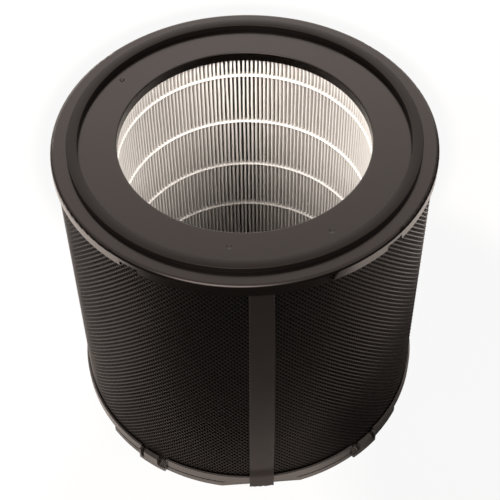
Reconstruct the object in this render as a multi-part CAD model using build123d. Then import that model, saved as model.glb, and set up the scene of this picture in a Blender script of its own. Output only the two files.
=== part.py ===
from build123d import *
import os
from math import cos, degrees, pi, radians, sin

# Cylindrical air purifier filter: a pleated paper ring, a carbon layer and an outer net, glued
# between a top cap with a round air opening and a closed bottom cap.
# Millimetres, +Z up. The origin is at the centre of the foot plane. Azimuth 0 is the front, at -Y,
# where the seam strap runs, and azimuths grow towards +X.

# Driving sizes of the whole
outer_radius = 135.0
body_height = 247.0
end_ring_width = 46.0

# Moulded caps
cap_wall = 1.4
end_plate = 2.4
lip_round = 2.5
opening_round = 1.0
skirt_depth = 9.0
collar_depth = 7.4
rib_depth = 7.0
notch_height = 3.9
notch_width = 14.5
notch_azimuth = 39.9
top_cap_turn = 2.2
slot_width = 3.6
slot_azimuth = 19.9
flange_height = 5.0
flange_width = 9.0
flange_reach = 56.8
flange_flat_depth = 3.5
groove_height = 1.5
groove_depth = 1.5
band_height = 8.0
base_recess_radius = 62.0
base_recess_depth = 1.6

# Clip lugs on the bottom cap
lug_azimuth = 37.8
lug_width = 25.4
lug_height = 12.0
lug_reach = 2.2
lug_root = 6.0
lug_floor = 3.6
lug_corner = 2.4
tongue_width = 13.0
tongue_offset = 1.4
pocket_round = 2.0

# Seal ring on the top cap
gasket_inset = 11.5
gasket_width = 7.7
gasket_stand = 4.2
gasket_seat = 1.1

# Pleated paper and its glue
pleat_count = 183
paper_thickness = 0.45
inner_tip_width = 1.85
outer_tip_width = 1.6
potting_height = 2.0
bead_count = 5
first_bead_drop = 24.0
last_bead_rise = 33.8
bead_height = 2.0
bead_depth = 0.9

# Carbon layer and outer net
carbon_thickness = 10.6
net_thickness = 0.8
net_columns = 14
net_rows = 5
strand_width = 8.0
hem_height = 15.0

# Seam strap
strap_width = 18.6
strap_thickness = 0.5
strap_tuck = 3.0
strap_end_height = 1.2
strap_slope = 8.0

# Clearances
fit_gap = 0.05
tip_gap = 0.5
rib_gap = 0.6
skirt_gap = 0.25

# Levels and radii worked out from the sizes above
top_face = body_height
plate_underside = top_face - end_plate
skirt_bottom = top_face - skirt_depth
skirt_inner_radius = outer_radius - cap_wall
groove_radius = outer_radius - groove_depth
band_bottom = flange_height + groove_height
band_top = band_bottom + band_height
pan_floor = band_bottom + groove_depth
base_underside = pan_floor - end_plate
opening_radius = outer_radius - end_ring_width
gasket_outer_radius = outer_radius - gasket_inset
gasket_inner_radius = gasket_outer_radius - gasket_width
collar_outer_radius = opening_radius + cap_wall
strap_inner_radius = skirt_inner_radius - skirt_gap - strap_thickness
net_outer_radius = strap_inner_radius - fit_gap
net_inner_radius = net_outer_radius - net_thickness
carbon_outer_radius = net_inner_radius - fit_gap
carbon_inner_radius = carbon_outer_radius - carbon_thickness
rib_outer_radius = carbon_inner_radius - rib_gap
rib_inner_radius = rib_outer_radius - cap_wall
pleat_inner_radius = collar_outer_radius + tip_gap
pleat_outer_radius = rib_inner_radius - bead_depth - 2 * fit_gap
bead_spacing = (body_height - first_bead_drop - last_bead_rise) / (bead_count - 1)
lug_face_radius = outer_radius + lug_reach


def turned(*points, rounds=()):
    """The solid that a closed outline of (radius, height) points sweeps round the Z axis."""
    outline = make_face(Polyline(*points, close=True))
    for place, radius in rounds:
        corner = outline.vertices().sort_by_distance(place)[0]
        outline = fillet(corner, radius)
    return revolve(Plane.XZ * outline, axis=Axis.Z)


def ring(inner_radius, ring_outer_radius, low, high):
    """A square-section ring between two radii and two heights."""
    return turned((inner_radius, low), (ring_outer_radius, low), (ring_outer_radius, high), (inner_radius, high))


def sector(inner_radius, sector_outer_radius, low, high, azimuth, width):
    """The part of a ring that is centred on an azimuth and is as wide as width at its outer radius."""
    angle = degrees(width / sector_outer_radius)
    outline = make_face(
        Polyline(
            (inner_radius, low),
            (sector_outer_radius, low),
            (sector_outer_radius, high),
            (inner_radius, high),
            close=True,
        )
    )
    piece = revolve(Plane.XZ * outline, axis=Axis.Z, revolution_arc=angle)
    return Rot(Z=azimuth - 90 - angle / 2) * piece


def make_top_cap():
    """Flat ring with a rolled outer lip, a skirt, a collar in the opening and a rib for the adhesive."""
    seat_inner_radius = gasket_inner_radius - fit_gap
    seat_outer_radius = gasket_outer_radius + fit_gap
    cap = turned(
        (opening_radius, top_face - collar_depth),
        (collar_outer_radius, top_face - collar_depth),
        (collar_outer_radius, plate_underside),
        (rib_inner_radius, plate_underside),
        (rib_inner_radius, top_face - rib_depth),
        (rib_outer_radius, top_face - rib_depth),
        (rib_outer_radius, plate_underside),
        (skirt_inner_radius, plate_underside),
        (skirt_inner_radius, skirt_bottom),
        (outer_radius, skirt_bottom),
        (outer_radius, top_face),
        (seat_outer_radius, top_face),
        (seat_outer_radius, top_face - gasket_seat),
        (seat_inner_radius, top_face - gasket_seat),
        (seat_inner_radius, top_face),
        (opening_radius, top_face),
        rounds=(((outer_radius, top_face), lip_round), ((opening_radius, top_face), opening_round)),
    )
    for half_turn in (0, 180):
        for side in (-1, 1):
            azimuth = half_turn + top_cap_turn + side * notch_azimuth
            cap -= sector(
                skirt_inner_radius - cap_wall,
                outer_radius + cap_wall,
                skirt_bottom - notch_height,
                skirt_bottom + notch_height,
                azimuth,
                notch_width,
            )
        cap -= sector(
            skirt_inner_radius - fit_gap,
            outer_radius + cap_wall,
            skirt_bottom - notch_height,
            top_face - lip_round - fit_gap,
            half_turn + slot_azimuth,
            slot_width,
        )
    return cap


def make_top_gasket():
    """Square-section seal ring, seated in the shallow groove of the top cap."""
    return ring(gasket_inner_radius, gasket_outer_radius, top_face - gasket_seat, top_face + gasket_stand)


def polar(radius, azimuth, offset):
    """A point at a radius, moved sideways by offset from an azimuth."""
    angle = radians(azimuth - 90) + offset / radius
    return (radius * cos(angle), radius * sin(angle))


def make_pleat_pack():
    """Paper ring of deep folds with blunt tips, open at both ends of the ring."""
    pitch = 360 / pleat_count
    inner_half = inner_tip_width / 2
    outer_half = outer_tip_width / 2
    hollow_side = []
    carbon_side = []
    for fold in range(pleat_count):
        inner_azimuth = fold * pitch
        outer_azimuth = inner_azimuth + pitch / 2
        for side in (-1, 1):
            hollow_side.append(polar(pleat_inner_radius, inner_azimuth, side * inner_half))
            carbon_side.append(
                polar(pleat_inner_radius + paper_thickness, inner_azimuth, side * (inner_half - paper_thickness))
            )
        for side in (-1, 1):
            hollow_side.append(
                polar(pleat_outer_radius - paper_thickness, outer_azimuth, side * (outer_half - paper_thickness))
            )
            carbon_side.append(polar(pleat_outer_radius, outer_azimuth, side * outer_half))
    section = make_face(Polyline(*carbon_side, close=True)) - make_face(Polyline(*hollow_side, close=True))
    low = pan_floor + potting_height
    high = plate_underside - potting_height
    return Pos(0, 0, low) * extrude(section, high - low)


def make_bead(inner_radius, number):
    """One glue thread round the fold tips."""
    middle = top_face - first_bead_drop - number * bead_spacing
    return ring(inner_radius, inner_radius + bead_depth - fit_gap, middle - bead_height / 2, middle + bead_height / 2)


def make_potting(low):
    """Adhesive that fills the end of a cap's trough and bonds the paper in."""
    return ring(collar_outer_radius + fit_gap, rib_inner_radius - fit_gap, low, low + potting_height)


def make_carbon_layer():
    """Activated carbon layer between the paper and the net."""
    return ring(carbon_inner_radius, carbon_outer_radius, pan_floor, plate_underside)


def make_net_sleeve():
    """Net wall with a hem at each end and rows of diamond gaps, each row half a gap round."""
    net_low = pan_floor
    net_high = plate_underside
    sleeve = ring(net_inner_radius, net_outer_radius, net_low, net_high)
    column_angle = 360 / net_columns
    cell_width = 2 * pi * net_outer_radius / net_columns
    cell_height = 2 * (net_high - net_low - 2 * hem_height) / (net_rows + 1)
    gap_width = cell_width - strand_width * (cell_width**2 + cell_height**2) ** 0.5 / cell_height
    gap_height = gap_width * cell_height / cell_width
    diamond = make_face(
        Polyline((gap_width / 2, 0), (0, gap_height / 2), (-gap_width / 2, 0), (0, -gap_height / 2), close=True)
    )
    gap_depth = net_outer_radius - net_inner_radius * cos(pi / net_columns)
    gap = extrude(Plane.XZ * diamond, gap_depth, both=True)
    gaps = []
    for row in range(net_rows):
        height = net_low + hem_height + (row + 1) * cell_height / 2
        for column in range(net_columns):
            azimuth = (column + row % 2 / 2) * column_angle
            gaps.append(Rot(Z=azimuth) * Pos(0, -net_outer_radius, height) * gap)
    return sleeve - gaps


def make_seam_strap():
    """Fabric strip over the net's seam: tucked in the skirt, and out over the bottom cap's band."""
    upper = strap_inner_radius
    lower = outer_radius + fit_gap
    bend_low = band_top + fit_gap
    bend_high = bend_low + strap_slope
    strap_top = skirt_bottom + strap_tuck
    outline = make_face(
        Polyline(
            (upper, strap_top),
            (upper, bend_high),
            (lower, bend_low),
            (lower, strap_end_height),
            (lower + strap_thickness, strap_end_height),
            (lower + strap_thickness, bend_low),
            (upper + strap_thickness, bend_high),
            (upper + strap_thickness, strap_top),
            close=True,
        )
    )
    angle = degrees(strap_width / outer_radius)
    strap = revolve(Plane.XZ * outline, axis=Axis.Z, revolution_arc=angle)
    return Rot(Z=-90 - angle / 2) * strap


def make_clip_lug(azimuth, side):
    """Block of a clip lug, with the lower corner nearer the middle of its flange arc rounded."""
    lug = sector(outer_radius - lug_root, lug_face_radius, 0, lug_height, azimuth, lug_width)
    foot_edges = lug.edges().filter_by(GeomType.LINE).group_by(Axis.Z)[0]
    corner = (*polar(lug_face_radius, azimuth, -side * lug_width / 2), 0)
    return fillet(foot_edges.sort_by_distance(corner)[0], lug_corner)


def make_lug_gaps(azimuth, side):
    """The round-cornered pocket and the slot either side of a lug's tongue, and the notch of the band above."""
    front_radius = lug_face_radius + lug_reach
    half_lug = lug_width / 2
    gap_top = band_top + lug_height
    tongue_near_edge = tongue_offset - tongue_width / 2
    tongue_far_edge = tongue_offset + tongue_width / 2
    pocket_middle = side * degrees((tongue_near_edge - half_lug) / 2 / front_radius)
    pocket_width = tongue_near_edge + half_lug
    pocket = sector(groove_radius, front_radius, lug_floor, gap_top, azimuth + pocket_middle, pocket_width)
    pocket = fillet(pocket.edges().filter_by(GeomType.LINE).group_by(Axis.Z)[0], pocket_round)
    slot_middle = side * degrees((tongue_far_edge + half_lug - cap_wall) / 2 / front_radius)
    lug_slot_width = half_lug - cap_wall - tongue_far_edge
    slot = sector(groove_radius, front_radius, lug_floor, gap_top, azimuth + slot_middle, lug_slot_width)
    notch = sector(groove_radius, front_radius, lug_height, gap_top, azimuth, lug_width)
    return [pocket, slot, notch]


def make_bottom_cap():
    """Closed pan: band, groove, lower flange in two arcs with a flat at the front, and four clip lugs."""
    cap = turned(
        (0, base_underside + base_recess_depth),
        (base_recess_radius, base_underside + base_recess_depth),
        (base_recess_radius + base_recess_depth, base_underside),
        (groove_radius, base_underside),
        (groove_radius, band_bottom),
        (outer_radius, band_bottom),
        (outer_radius, band_top),
        (skirt_inner_radius, band_top),
        (skirt_inner_radius, pan_floor),
        (base_recess_radius + base_recess_depth, pan_floor),
        (base_recess_radius, pan_floor + base_recess_depth),
        (0, pan_floor + base_recess_depth),
    )
    cap += ring(opening_radius, collar_outer_radius, pan_floor - fit_gap, pan_floor + rib_depth)
    cap += ring(rib_inner_radius, rib_outer_radius, pan_floor - fit_gap, pan_floor + rib_depth)
    flange_root = outer_radius - flange_width
    flange_arc = 2 * radians(flange_reach) * outer_radius
    for half_turn in (0, 180):
        cap += sector(flange_root, outer_radius, 0, flange_height, half_turn, flange_arc)
        cap += sector(flange_root, groove_radius, 0, band_bottom, half_turn, flange_arc * groove_radius / outer_radius)
    front_flat = outer_radius - flange_flat_depth
    cap -= Pos(0, -front_flat - outer_radius / 2, 0) * Box(outer_radius, outer_radius, 2 * flange_height)
    for half_turn in (0, 180):
        for side in (-1, 1):
            azimuth = half_turn + side * lug_azimuth
            cap += make_clip_lug(azimuth, side)
            cap -= make_lug_gaps(azimuth, side)
    return cap - ring(rib_outer_radius, skirt_inner_radius, pan_floor, band_top)


def write(name, solid):
    """One STEP file for a node."""
    solid.label = name
    export_step(solid, f"parts/{name}.step")


os.makedirs("parts", exist_ok=True)
write("top_cap", make_top_cap())
write("top_gasket", make_top_gasket())
write("top_potting", make_potting(plate_underside - potting_height))
write("pleat_pack", make_pleat_pack())
for number in range(bead_count):
    write(f"inner_bead_{number + 1}", make_bead(pleat_inner_radius - bead_depth, number))
    write(f"outer_bead_{number + 1}", make_bead(pleat_outer_radius + fit_gap, number))
write("carbon_layer", make_carbon_layer())
write("net_sleeve", make_net_sleeve())
write("seam_strap", make_seam_strap())
write("bottom_potting", make_potting(pan_floor))
write("bottom_cap", make_bottom_cap())
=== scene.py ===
from math import atan2, cos, hypot, pi, radians, sin

import bmesh
import bpy
from mathutils import Matrix, Vector, noise


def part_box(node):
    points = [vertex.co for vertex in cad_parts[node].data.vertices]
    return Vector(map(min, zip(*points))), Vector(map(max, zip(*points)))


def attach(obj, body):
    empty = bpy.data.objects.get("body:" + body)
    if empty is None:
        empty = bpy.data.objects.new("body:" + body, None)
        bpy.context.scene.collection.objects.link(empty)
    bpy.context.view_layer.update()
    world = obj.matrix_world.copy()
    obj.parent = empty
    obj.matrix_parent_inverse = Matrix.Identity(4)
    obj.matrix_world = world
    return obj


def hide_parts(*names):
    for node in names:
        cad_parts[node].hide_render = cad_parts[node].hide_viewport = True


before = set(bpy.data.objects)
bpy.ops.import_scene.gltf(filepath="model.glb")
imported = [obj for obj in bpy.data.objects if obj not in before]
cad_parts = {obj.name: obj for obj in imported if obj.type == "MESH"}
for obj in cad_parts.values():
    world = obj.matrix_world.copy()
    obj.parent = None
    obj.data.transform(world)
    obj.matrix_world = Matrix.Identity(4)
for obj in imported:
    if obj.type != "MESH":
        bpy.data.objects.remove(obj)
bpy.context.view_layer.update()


# The filter paper is one strip of white glass-fibre paper, folded to and fro and bent round into
# a ring. Its folds have blunt tips, stand nearly radial, and waver a little, most of all close
# under the top cap.
paper_low, paper_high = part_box("pleat_pack")
paper_outer = paper_high.x
paper_inner = 0.0909
paper_thickness = 0.00035
paper_rows = 14
fold_count = 183
fold_angle = 2 * pi / fold_count
tip_depth = 0.0007
tip_round = tip_depth * 0.25
tip_flat_share = 0.7
inner_tip_half = 0.00074
outer_tip_half = 0.00080
fold_merge = 0.00001
fold_sway = 0.00044
fold_sway_waves = 35.0
fold_sway_change = 3.7
cap_sway = 0.0009
cap_sway_height = 0.020
cap_sway_waves = 90.0
cap_sway_change = 0.8
cap_sway_layer = 9.0
paper_white = (0.62, 0.592, 0.565, 1.0)


def new_material(name, color, roughness, sheen=(1.0, 1.0, 1.0, 1.0)):
    """A material, its node tree, and its shader with the plain values set."""
    material = bpy.data.materials.new(name)
    material.use_nodes = True
    tree = material.node_tree
    shader = tree.nodes["Principled BSDF"]
    shader.inputs["Base Color"].default_value = color
    shader.inputs["Roughness"].default_value = roughness
    shader.inputs["Specular Tint"].default_value = sheen
    return material, tree, shader


def object_noise(tree, scale, detail, roughness=0.5):
    """A noise texture on the piece's own coordinates."""
    place = tree.nodes.new("ShaderNodeTexCoord")
    texture = tree.nodes.new("ShaderNodeTexNoise")
    texture.inputs["Scale"].default_value = scale
    texture.inputs["Detail"].default_value = detail
    texture.inputs["Roughness"].default_value = roughness
    tree.links.new(place.outputs["Object"], texture.inputs["Vector"])
    return texture.outputs["Fac"]


def bump(tree, shader, height, strength, distance):
    """Raises the shader's surface by a height texture."""
    node = tree.nodes.new("ShaderNodeBump")
    node.inputs["Strength"].default_value = strength
    node.inputs["Distance"].default_value = distance
    tree.links.new(height, node.inputs["Height"])
    tree.links.new(node.outputs["Normal"], shader.inputs["Normal"])
    return node


def piece_from(form, name, material):
    """Turns a finished bmesh into a piece of the scene that rides on the filter."""
    bmesh.ops.recalc_face_normals(form, faces=form.faces)
    mesh = bpy.data.meshes.new(name)
    form.to_mesh(mesh)
    form.free()
    for face in mesh.polygons:
        face.use_smooth = True
    mesh.materials.append(material)
    piece = bpy.data.objects.new(name, mesh)
    bpy.context.scene.collection.objects.link(piece)
    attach(piece, "root")
    return piece


fold_corners = (
    (paper_outer, -fold_angle / 2, 0.0),
    (paper_outer - tip_round, -fold_angle / 2, outer_tip_half * tip_flat_share),
    (paper_outer - tip_depth, -fold_angle / 2, outer_tip_half),
    (paper_inner + tip_depth, 0.0, -inner_tip_half),
    (paper_inner + tip_round, 0.0, -inner_tip_half * tip_flat_share),
    (paper_inner, 0.0, 0.0),
    (paper_inner + tip_round, 0.0, inner_tip_half * tip_flat_share),
    (paper_inner + tip_depth, 0.0, inner_tip_half),
    (paper_outer - tip_depth, fold_angle / 2, -outer_tip_half),
    (paper_outer - tip_round, fold_angle / 2, -outer_tip_half * tip_flat_share),
    (paper_outer, fold_angle / 2, 0.0),
)
paper_form = bmesh.new()
fold_line = []
for radius, azimuth, offset in fold_corners:
    angle = azimuth + offset / radius
    fold_line.append(paper_form.verts.new((radius * cos(angle), radius * sin(angle), paper_low.z)))
for first, second in zip(fold_line, fold_line[1:]):
    paper_form.edges.new((first, second))
bmesh.ops.spin(
    paper_form, geom=paper_form.verts[:] + paper_form.edges[:], axis=(0, 0, 1), cent=(0, 0, 0),
    angle=2 * pi - fold_angle, steps=fold_count - 1, use_duplicate=True,
)
bmesh.ops.remove_doubles(paper_form, verts=paper_form.verts, dist=fold_merge)
row_edges = paper_form.edges[:]
row_height = (paper_high.z - paper_low.z) / paper_rows
for row in range(paper_rows):
    raised = bmesh.ops.extrude_edge_only(paper_form, edges=row_edges)["geom"]
    row_corners = {part for part in raised if isinstance(part, bmesh.types.BMVert)}
    row_edges = [
        part for part in raised if isinstance(part, bmesh.types.BMEdge) and row_corners.issuperset(part.verts)
    ]
    bmesh.ops.translate(paper_form, verts=list(row_corners), vec=(0, 0, row_height))
bmesh.ops.recalc_face_normals(paper_form, faces=paper_form.faces)
bmesh.ops.solidify(paper_form, geom=paper_form.faces, thickness=-paper_thickness)
for corner in paper_form.verts:
    radius = hypot(corner.co.x, corner.co.y)
    azimuth = atan2(corner.co.y, corner.co.x)
    fold = round(azimuth / fold_angle) % fold_count
    looseness = (paper_outer - radius) / (paper_outer - paper_inner)
    near_cap = max(0.0, 1.0 - (paper_high.z - corner.co.z) / cap_sway_height)
    sway = fold_sway * noise.noise(Vector((fold * fold_sway_change, 0.0, corner.co.z * fold_sway_waves)))
    sway += cap_sway * near_cap * noise.noise(
        Vector((fold * cap_sway_change, cap_sway_layer, corner.co.z * cap_sway_waves))
    )
    corner.co += Vector((-sin(azimuth), cos(azimuth), 0.0)) * sway * looseness
paper_material, paper_tree, paper_shader = new_material("filter_paper", paper_white, roughness=0.85)
paper_fibres = object_noise(paper_tree, scale=700.0, detail=4.0, roughness=0.6)
bump(paper_tree, paper_shader, paper_fibres, strength=0.35, distance=0.0002)
paper = piece_from(paper_form, "pleated_paper", paper_material)
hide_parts("pleat_pack")


# Five threads of white hot glue run round the inner fold tips, and five round the outer ones, and
# hold the folds apart. The glue was laid while soft: inside it sank into the gaps, and it hangs a
# little between the tips.
thread_count = 5
thread_width = 0.00085
thread_depth = 0.0055
thread_height = 0.0017
thread_back_half = thread_height * 0.25
thread_round_half = thread_height * 0.35
thread_full_half = thread_height * 0.5
thread_round_depth = 0.0002
thread_full_depth = 0.0006
thread_sink = 0.00035
thread_sag = 0.00025
thread_steps_per_fold = 6
thread_unevenness = 0.8
thread_fold_change = 2.3
thread_level_change = 50.0
glue_white = (0.82, 0.79, 0.76, 1.0)


def closed_outline(form, points):
    """Adds a closed outline of (radius, height) points in the XZ plane."""
    corners = [form.verts.new((radius, 0.0, height)) for radius, height in points]
    for index, corner in enumerate(corners):
        form.edges.new((corners[index - 1], corner))
    return corners


def spin_round(form, steps):
    """Spins all that a bmesh holds once round the filter's axis."""
    bmesh.ops.spin(
        form, geom=form.verts[:] + form.edges[:], axis=(0, 0, 1), cent=(0, 0, 0), angle=2 * pi, steps=steps,
        use_merge=True,
    )


def give_material(name, material):
    """Puts a material on a CAD node that is shown as it is."""
    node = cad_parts[name]
    node.data.materials.clear()
    node.data.materials.append(material)


glue_material, glue_tree, glue_shader = new_material("hot_glue", glue_white, roughness=0.45)
bump(glue_tree, glue_shader, object_noise(glue_tree, scale=400.0, detail=2.0), strength=0.2, distance=0.0003)
for number in range(1, thread_count + 1):
    thread_low, thread_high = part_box(f"inner_bead_{number}")
    level = (thread_low.z + thread_high.z) / 2
    front = thread_high.x - thread_width
    thread_form = bmesh.new()
    closed_outline(
        thread_form,
        (
            (front + thread_depth, level - thread_back_half),
            (front + thread_depth, level + thread_back_half),
            (front + thread_full_depth, level + thread_full_half),
            (front + thread_round_depth, level + thread_round_half),
            (front, level),
            (front + thread_round_depth, level - thread_round_half),
            (front + thread_full_depth, level - thread_full_half),
        ),
    )
    spin_round(thread_form, fold_count * thread_steps_per_fold)
    for corner in thread_form.verts:
        azimuth = atan2(corner.co.y, corner.co.x)
        fold = round(azimuth / fold_angle) % fold_count
        gap_share = (1.0 - cos(azimuth / fold_angle * 2 * pi)) / 2
        lumps = noise.noise(Vector((fold * thread_fold_change, level * thread_level_change, 0.0)))
        unevenness = 1.0 + thread_unevenness * lumps
        radius = hypot(corner.co.x, corner.co.y)
        new_radius = radius + thread_sink * gap_share * unevenness
        corner.co.x *= new_radius / radius
        corner.co.y *= new_radius / radius
        corner.co.z -= thread_sag * gap_share * unevenness
    thread = piece_from(thread_form, f"glue_thread_{number}", glue_material)
    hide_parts(f"inner_bead_{number}")
    give_material(f"outer_bead_{number}", glue_material)


# The carbon layer is a black cloth full of fine carbon grains, wrapped round the paper. It shows
# as the dark ground behind the net.
carbon_black = (0.0015, 0.0014, 0.0013, 1.0)
carbon_material, carbon_tree, carbon_shader = new_material("carbon", carbon_black, roughness=0.8)
carbon_shader.inputs["Specular IOR Level"].default_value = 0.0
carbon_grains = object_noise(carbon_tree, scale=1100.0, detail=3.0, roughness=0.7)
bump(carbon_tree, carbon_shader, carbon_grains, strength=0.8, distance=0.0006)
give_material("carbon_layer", carbon_material)


# The outer net is extruded black plastic: two sets of thin slanting strands that were laid across
# each other while hot and welded where they cross. It is wrapped once round the carbon layer.
net_low, net_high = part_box("net_sleeve")
net_clearance = 0.00005
net_outer = net_high.x
net_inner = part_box("carbon_layer")[1].x + net_clearance
strand_count = 210
strand_lap = 0.0002
strand_steps = 30
strand_height = 0.0024
strand_root_half = strand_height * 0.42
strand_shoulder_half = strand_height * 0.405
strand_brow_half = strand_height * 0.29
strand_shoulder_depth = 0.00055
strand_brow_depth = strand_shoulder_depth * 0.28
mesh_across = 0.00397
mesh_up = 0.00443
strand_climb = mesh_up / mesh_across
strand_twist = (net_high.z - net_low.z) / strand_climb / net_outer
net_black = (0.0012, 0.0010, 0.0009, 1.0)
net_sheen = (1.0, 0.86, 0.81, 1.0)


def lay_strands(inner, outer, turn):
    """One set of slanting strands between two radii, wound one way or the other."""
    form = bmesh.new()
    middle = net_low.z + strand_height / 2
    corners = closed_outline(
        form,
        (
            (inner, middle - strand_root_half),
            (outer - strand_shoulder_depth, middle - strand_shoulder_half),
            (outer - strand_brow_depth, middle - strand_brow_half),
            (outer, middle),
            (outer - strand_brow_depth, middle + strand_brow_half),
            (outer - strand_shoulder_depth, middle + strand_shoulder_half),
            (inner, middle + strand_root_half),
        ),
    )
    form.faces.new(corners)
    rise = (net_high.z - net_low.z - strand_height) / strand_steps
    bmesh.ops.spin(
        form, geom=form.verts[:] + form.edges[:] + form.faces[:], axis=(0, 0, 1), cent=(0, 0, 0),
        dvec=(0, 0, rise), angle=turn * strand_twist, steps=strand_steps,
    )
    bmesh.ops.spin(
        form, geom=form.verts[:] + form.edges[:] + form.faces[:], axis=(0, 0, 1), cent=(0, 0, 0),
        angle=2 * pi * (strand_count - 1) / strand_count, steps=strand_count - 1, use_duplicate=True,
    )
    return form


net_form = lay_strands(net_inner, net_outer - strand_lap, 1)
crossing_mesh = bpy.data.meshes.new("crossing_strands")
crossing_form = lay_strands(net_inner + strand_lap, net_outer, -1)
crossing_form.to_mesh(crossing_mesh)
crossing_form.free()
net_form.from_mesh(crossing_mesh)
bpy.data.meshes.remove(crossing_mesh)
net_material, net_tree, net_shader = new_material("net_plastic", net_black, roughness=0.28, sheen=net_sheen)
net_shader.inputs["Specular IOR Level"].default_value = 0.35
bump(net_tree, net_shader, object_noise(net_tree, scale=500.0, detail=2.0), strength=0.25, distance=0.0003)
net = piece_from(net_form, "outer_net", net_material)
net.data.set_sharp_from_angle(angle=radians(50))
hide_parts("net_sleeve")


# The bottom cap is a closed pan with a band, a groove and four clip lugs, moulded in one piece of
# black plastic. Its fine-grained skin is a little greyer and shinier than the top cap's.
base_black = (0.022, 0.0195, 0.018, 1.0)
base_sheen = (1.0, 0.9, 0.86, 1.0)
base_material, base_tree, base_shader = new_material(
    "base_plastic", base_black, roughness=0.25, sheen=base_sheen
)
base_shader.inputs["Specular IOR Level"].default_value = 1.0
bump(base_tree, base_shader, object_noise(base_tree, scale=900.0, detail=2.0), strength=0.12, distance=0.0002)
give_material("bottom_cap", base_material)


# The top cap is a ring moulded in black plastic with a soft gloss. The mould left a very fine
# grain and three shallow round marks of its pins, and handling has left faint rubbed patches.
cap_black = (0.0013, 0.0010, 0.0009, 1.0)
cap_sheen = (1.0, 0.88, 0.84, 1.0)
cap_smooth = 0.18
cap_rubbed = 0.25
rub_start = 0.35
rub_full = 0.7
pin_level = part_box("top_cap")[1].z
pin_places = ((-0.0845, 0.0663), (0.0500, -0.0928), (-0.0174, -0.1008))
pin_inner = 0.0010
pin_outer = 0.0020
far_from_pins = 1.0


def calculate(tree, operation, first, second):
    """A maths node on two inputs, each a socket or a number."""
    node = tree.nodes.new("ShaderNodeMath")
    node.operation = operation
    for source, entry in zip((first, second), node.inputs):
        if isinstance(source, bpy.types.NodeSocket):
            tree.links.new(source, entry)
        else:
            entry.default_value = source
    return node.outputs[0]


def reach_from(tree, place, point):
    """The distance from a point, on an object's own coordinates."""
    node = tree.nodes.new("ShaderNodeVectorMath")
    node.operation = "DISTANCE"
    node.inputs[1].default_value = point
    tree.links.new(place.outputs["Object"], node.inputs[0])
    return node.outputs["Value"]


def fade(tree, value, start, end, at_start=0.0, at_end=1.0, course="SMOOTHSTEP"):
    """Goes from one number to another while a value goes from start to end."""
    node = tree.nodes.new("ShaderNodeMapRange")
    node.interpolation_type = course
    node.inputs["From Min"].default_value = start
    node.inputs["From Max"].default_value = end
    node.inputs["To Min"].default_value = at_start
    node.inputs["To Max"].default_value = at_end
    tree.links.new(value, node.inputs["Value"])
    return node.outputs["Result"]


cap_material, cap_tree, cap_shader = new_material("cap_plastic", cap_black, cap_smooth, cap_sheen)
cap_rubs = object_noise(cap_tree, scale=18.0, detail=5.0, roughness=0.6)
cap_roughness = fade(cap_tree, cap_rubs, rub_start, rub_full, cap_smooth, cap_rubbed, "LINEAR")
cap_tree.links.new(cap_roughness, cap_shader.inputs["Roughness"])
cap_grain = bump(
    cap_tree, cap_shader, object_noise(cap_tree, scale=900.0, detail=2.0), strength=0.12, distance=0.0002
)
cap_place = cap_tree.nodes.new("ShaderNodeTexCoord")
pin_reach = far_from_pins
for pin_x, pin_y in pin_places:
    pin_reach = calculate(
        cap_tree, "MINIMUM", pin_reach, reach_from(cap_tree, cap_place, (pin_x, pin_y, pin_level))
    )
pin_height = fade(cap_tree, pin_reach, pin_inner, pin_outer)
pin_marks = bump(cap_tree, cap_shader, pin_height, strength=1.0, distance=0.0006)
cap_tree.links.new(cap_grain.outputs["Normal"], pin_marks.inputs["Normal"])
give_material("top_cap", cap_material)


# The adhesive that was poured into the troughs of the two caps has set to a dark resin, and holds
# the paper. It only shows as a line at the ends of the folds.
resin_dark = (0.03, 0.028, 0.026, 1.0)
resin_material, resin_tree, resin_shader = new_material("potting_resin", resin_dark, roughness=0.4)
resin_ripples = object_noise(resin_tree, scale=150.0, detail=2.0)
bump(resin_tree, resin_shader, resin_ripples, strength=0.3, distance=0.0005)
give_material("top_potting", resin_material)
give_material("bottom_potting", resin_material)


# A square seal ring of closed-cell rubber foam is pressed into the shallow groove of the top cap.
# Its cut edges are slightly rounded and its skin is matt.
gasket_low, gasket_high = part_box("top_gasket")
gasket_width = 0.0077
gasket_outer = gasket_high.x
gasket_inner = gasket_outer - gasket_width
gasket_edge = 0.0005
gasket_brow = gasket_edge * 0.3
gasket_steps = 240
gasket_black = (0.003, 0.0024, 0.0022, 1.0)
gasket_sheen = (1.0, 0.85, 0.8, 1.0)
gasket_form = bmesh.new()
closed_outline(
    gasket_form,
    (
        (gasket_inner, gasket_low.z),
        (gasket_outer, gasket_low.z),
        (gasket_outer, gasket_high.z - gasket_edge),
        (gasket_outer - gasket_brow, gasket_high.z - gasket_brow),
        (gasket_outer - gasket_edge, gasket_high.z),
        (gasket_inner + gasket_edge, gasket_high.z),
        (gasket_inner + gasket_brow, gasket_high.z - gasket_brow),
        (gasket_inner, gasket_high.z - gasket_edge),
    ),
)
spin_round(gasket_form, gasket_steps)
gasket_material, gasket_tree, gasket_shader = new_material(
    "gasket_foam", gasket_black, roughness=0.45, sheen=gasket_sheen
)
gasket_shader.inputs["Specular IOR Level"].default_value = 0.25
gasket_pores = object_noise(gasket_tree, scale=1500.0, detail=2.0)
bump(gasket_tree, gasket_shader, gasket_pores, strength=0.5, distance=0.0002)
gasket = piece_from(gasket_form, "seal_ring", gasket_material)
gasket.data.set_sharp_from_angle(angle=radians(60))
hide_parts("top_gasket")


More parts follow.
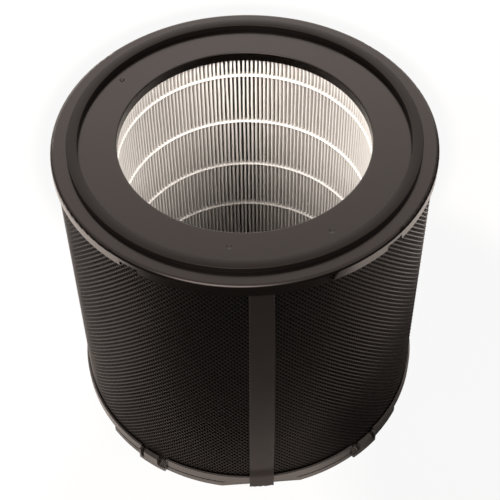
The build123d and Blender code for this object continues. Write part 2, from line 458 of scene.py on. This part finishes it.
# A strip of dark woven tape covers the net's seam. It is glued on, tucked under the top cap's
# skirt, led out over the bottom cap's band, and cut off there by hand. It leans and narrows a
# little towards the top.
tape_low, tape_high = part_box("seam_strap")
band_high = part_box("bottom_cap")[1]
tape_width = 0.0186
tape_length = tape_high.z - tape_low.z
tape_thickness = 0.00045
tape_clearance = 0.00005
tape_columns = 16
tape_rows = 160
tape_on_net = net_outer + tape_clearance
tape_on_band = band_high.x + tape_clearance
bend_low = band_high.z + 0.0001
bend_high = bend_low + 0.0085
tape_lean = 0.0020
tape_bow = 0.0040
cut_depth = 0.0009
cut_middle = 0.5
cut_height = 0.004
cut_waves = 9.0
puff_depth = 0.00012
puff_waves_across = 2.0
puff_waves_up = 60.0
puff_layer = 3.0
tape_dark = (0.006, 0.0048, 0.0045, 1.0)
tape_sheen = (1.0, 0.86, 0.8, 1.0)
tape_threads = (22.0, 280.0, 1.0)
tape_form = bmesh.new()
tape_form.loops.layers.uv.new("weave")
bmesh.ops.create_grid(tape_form, x_segments=tape_columns, y_segments=tape_rows, size=0.5, calc_uvs=True)
for corner in tape_form.verts:
    across = corner.co.x
    height = tape_low.z + (corner.co.y + 0.5) * tape_length
    along = min(1.0, max(0.0, (bend_high - height) / (bend_high - bend_low)))
    ease = along * along * (3.0 - 2.0 * along)
    radius = tape_on_net + (tape_on_band - tape_on_net) * ease
    end_share = max(0.0, 1.0 - (height - tape_low.z) / cut_height)
    height += cut_depth * end_share * (cut_middle + noise.noise(Vector((across * cut_waves, 0.0, 0.0))))
    radius += puff_depth * noise.noise(
        Vector((across * puff_waves_across, height * puff_waves_up, puff_layer))
    )
    climb = (height - tape_low.z) / tape_length
    left_edge = -tape_width / 2 + tape_lean * climb
    right_edge = tape_width / 2 + tape_bow * climb * (1.0 - climb)
    aside = left_edge + (across + 0.5) * (right_edge - left_edge)
    azimuth = aside / tape_on_band - pi / 2
    corner.co = Vector((radius * cos(azimuth), radius * sin(azimuth), height))
bmesh.ops.recalc_face_normals(tape_form, faces=tape_form.faces)
bmesh.ops.solidify(tape_form, geom=tape_form.faces, thickness=-tape_thickness)
tape_material, tape_tree, tape_shader = new_material(
    "strap_cloth", tape_dark, roughness=0.45, sheen=tape_sheen
)
tape_shader.inputs["Specular IOR Level"].default_value = 0.4
tape_place = tape_tree.nodes.new("ShaderNodeUVMap")
tape_place.uv_map = "weave"
tape_size = tape_tree.nodes.new("ShaderNodeMapping")
tape_size.inputs["Scale"].default_value = tape_threads
tape_tree.links.new(tape_place.outputs["UV"], tape_size.inputs["Vector"])
tape_weave = tape_tree.nodes.new("ShaderNodeTexChecker")
tape_weave.inputs["Scale"].default_value = 1.0
tape_tree.links.new(tape_size.outputs["Vector"], tape_weave.inputs["Vector"])
bump(tape_tree, tape_shader, tape_weave.outputs["Fac"], strength=0.3, distance=0.0002)
tape = piece_from(tape_form, "seam_tape", tape_material)
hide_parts("seam_strap")


# The filter stands on white paper. A dark table begins close in front of it, along a slightly
# slanting edge. Painted shadows of the filter darken the floor's colour in three round patches, to
# its right, behind it and in front of it, and the floor is dim all over the far right.
# Only reflections show that: the camera sees nearly even white, with the filter's shadow.
floor_size = 12.0
floor_white = (0.90, 0.83, 0.785)
floor_roughness = 0.9
floor_seen_white = 0.93
floor_mirrored_share = 0.1
table_share = 0.05
table_edge = -0.19
table_slant = -0.165
table_edge_blur = 0.03
floor_mesh = bpy.data.meshes.new("floor")
floor_form = bmesh.new()
bmesh.ops.create_grid(floor_form, x_segments=1, y_segments=1, size=floor_size / 2)
floor_form.to_mesh(floor_mesh)
floor_form.free()
floor = bpy.data.objects.new("floor", floor_mesh)
bpy.context.scene.collection.objects.link(floor)
floor_material, floor_tree, floor_shader = new_material("floor_paper", (*floor_white, 1.0), floor_roughness)
floor_shader.inputs["Specular IOR Level"].default_value = 0.0
floor_place = floor_tree.nodes.new("ShaderNodeTexCoord")
floor_axes = floor_tree.nodes.new("ShaderNodeSeparateXYZ")
floor_tree.links.new(floor_place.outputs["Object"], floor_axes.inputs["Vector"])
floor_x = floor_axes.outputs["X"]


def painted_shadow_patch(middle, inner, outer):
    """A painted shadow of the filter: is 1 in a round patch of the floor, and fades to 0 between two
    distances from its middle.
    """
    reach = reach_from(floor_tree, floor_place, middle)
    return fade(floor_tree, reach, start=inner, end=outer, at_start=1.0, at_end=0.0)


def blend_by(tree, share, low, high):
    """A value that goes from low to high as share goes from 0 to 1."""
    spread = calculate(tree, "SUBTRACT", high, low)
    return calculate(tree, "ADD", calculate(tree, "MULTIPLY", share, spread), low)


def mirrored_rays(tree, paths):
    """Is 1 for rays that come off a mirroring surface or through a clear one."""
    return calculate(tree, "MAXIMUM", paths.outputs["Is Glossy Ray"], paths.outputs["Is Transmission Ray"])


table_line = calculate(
    floor_tree, "SUBTRACT", floor_axes.outputs["Y"], calculate(floor_tree, "MULTIPLY", floor_x, table_slant)
)
floor_pale = fade(
    floor_tree, table_line, table_edge - table_edge_blur, table_edge + table_edge_blur, table_share
)
# Painted shadows of the filter on the floor: to its right (only right of its middle), behind it and in front
# of it.
painted_shadow_right = calculate(
    floor_tree, "MULTIPLY", painted_shadow_patch(middle=(0.07, -0.03, 0.0), inner=0.18, outer=0.24),
    fade(floor_tree, floor_x, start=0.03, end=0.10),
)
painted_shadow_rear = painted_shadow_patch(middle=(0.015, 0.26, 0.0), inner=0.193, outer=0.217)
painted_shadow_front = painted_shadow_patch(middle=(-0.03, -0.20, 0.0), inner=0.13, outer=0.22)
dim_far_right = fade(floor_tree, floor_x, start=0.35, end=0.43)
for dim_place, depth in ((painted_shadow_right, 0.95), (painted_shadow_rear, 0.93), (painted_shadow_front, 0.55), (dim_far_right, 0.92)):
    left_over = blend_by(floor_tree, dim_place, 1.0, 1.0 - depth)
    floor_pale = calculate(floor_tree, "MULTIPLY", floor_pale, left_over)
floor_color = floor_tree.nodes.new("ShaderNodeVectorMath")
floor_color.operation = "SCALE"
floor_color.inputs["Vector"].default_value = floor_white
floor_tree.links.new(floor_pale, floor_color.inputs["Scale"])
floor_tree.links.new(floor_color.outputs["Vector"], floor_shader.inputs["Base Color"])
floor_paths = floor_tree.nodes.new("ShaderNodeLightPath")
floor_camera = floor_paths.outputs["Is Camera Ray"]
floor_glow_share = calculate(
    floor_tree, "MAXIMUM", calculate(floor_tree, "MULTIPLY", floor_camera, floor_seen_white),
    calculate(floor_tree, "MULTIPLY", mirrored_rays(floor_tree, floor_paths), floor_mirrored_share),
)
floor_glow = floor_tree.nodes.new("ShaderNodeEmission")
floor_tree.links.new(blend_by(floor_tree, floor_camera, floor_pale, 1.0), floor_glow.inputs["Strength"])
floor_mix = floor_tree.nodes.new("ShaderNodeMixShader")
floor_tree.links.new(floor_glow_share, floor_mix.inputs["Fac"])
floor_tree.links.new(floor_shader.outputs["BSDF"], floor_mix.inputs[1])
floor_tree.links.new(floor_glow.outputs["Emission"], floor_mix.inputs[2])
floor_tree.links.new(floor_mix.outputs["Shader"], floor_tree.nodes["Material Output"].inputs["Surface"])
floor_mesh.materials.append(floor_material)


# The room is a warm white to the camera. Mirrored in the filter, it is bright behind and overhead,
# with one bright spot above the front. Its light on the filter is soft, most from the upper left.
room_color = (1.0, 0.93, 0.88, 1.0)
room = bpy.data.worlds.new("studio")
room.use_nodes = True
bpy.context.scene.world = room
room_tree = room.node_tree
room_background = room_tree.nodes["Background"]
room_place = room_tree.nodes.new("ShaderNodeTexCoord")


def room_shade(toward, start, end, at_start, at_end):
    """The room's brightness, which rises smoothly towards one side."""
    facing = room_tree.nodes.new("ShaderNodeVectorMath")
    facing.operation = "DOT_PRODUCT"
    facing.inputs[1].default_value = toward
    room_tree.links.new(room_place.outputs["Generated"], facing.inputs[0])
    return fade(room_tree, facing.outputs["Value"], start, end, at_start, at_end)


room_behind = room_shade(toward=(0.0, 1.0, 0.0), start=0.5, end=1.0, at_start=0.04, at_end=2.05)
room_overhead = room_shade(toward=(0.0, 0.0, 1.0), start=0.1, end=0.8, at_start=0.0, at_end=0.98)
room_spot = room_shade(toward=(-0.23, -0.6, 0.766), start=0.88, end=0.99, at_start=0.0, at_end=6.0)
room_above = calculate(room_tree, "ADD", room_overhead, room_spot)
room_mirrored = calculate(room_tree, "ADD", room_behind, room_above)
room_light = room_shade(toward=(-0.5, -0.1, 0.86), start=-0.8, end=1.0, at_start=0.1, at_end=0.4)
room_paths = room_tree.nodes.new("ShaderNodeLightPath")
room_seen = blend_by(room_tree, mirrored_rays(room_tree, room_paths), room_light, room_mirrored)
room_strength = blend_by(room_tree, room_paths.outputs["Is Camera Ray"], room_seen, 1.0)
room_tree.links.new(room_strength, room_background.inputs["Strength"])
room_background.inputs["Color"].default_value = room_color


# Three square softboxes stand in front of the filter and above it, to the left, to the right and
# between them. Their soft light is slightly warm, and the black plastic doesn't mirror them.
softbox_size = 0.9
softbox_color = (1.0, 0.96, 0.92)
softbox_aim = Vector((0.0, 0.0, 0.15))
softboxes = (
    ("left_softbox", Vector((-1.21, -0.94, 1.44)), 70.0),
    ("right_softbox", Vector((1.21, -0.94, 1.44)), 54.0),
    ("front_softbox", Vector((-0.22, -1.27, 1.68)), 6.0),
)
for name, place, power in softboxes:
    lamp_data = bpy.data.lights.new(name, "AREA")
    lamp_data.shape = "SQUARE"
    lamp_data.size = softbox_size
    lamp_data.energy = power
    lamp_data.color = softbox_color
    lamp = bpy.data.objects.new(name, lamp_data)
    lamp.location = place
    lamp.rotation_euler = (softbox_aim - place).to_track_quat("-Z", "Y").to_euler()
    lamp.visible_glossy = False
    bpy.context.scene.collection.objects.link(lamp)


# The camera stands over the front of the filter and looks down past the near lip into the
# opening. It is a long lens held a little out of level.
camera_place = (-0.03668, -0.60850, 0.83385)
camera_yaw = radians(3.6865)
camera_pitch = radians(49.281)
camera_roll = radians(-0.9155)
camera_data = bpy.data.cameras.new("camera")
camera_data.sensor_width = 36.0
camera_data.lens = 87.28
camera = bpy.data.objects.new("camera", camera_data)
camera.matrix_world = (
    Matrix.Translation(camera_place)
    @ Matrix.Rotation(-camera_yaw, 4, "Z")
    @ Matrix.Rotation(pi / 2 - camera_pitch, 4, "X")
    @ Matrix.Rotation(camera_roll, 4, "Z")
)
bpy.context.scene.collection.objects.link(camera)
bpy.context.scene.camera = camera
bpy.context.scene.view_settings.view_transform = "Standard"
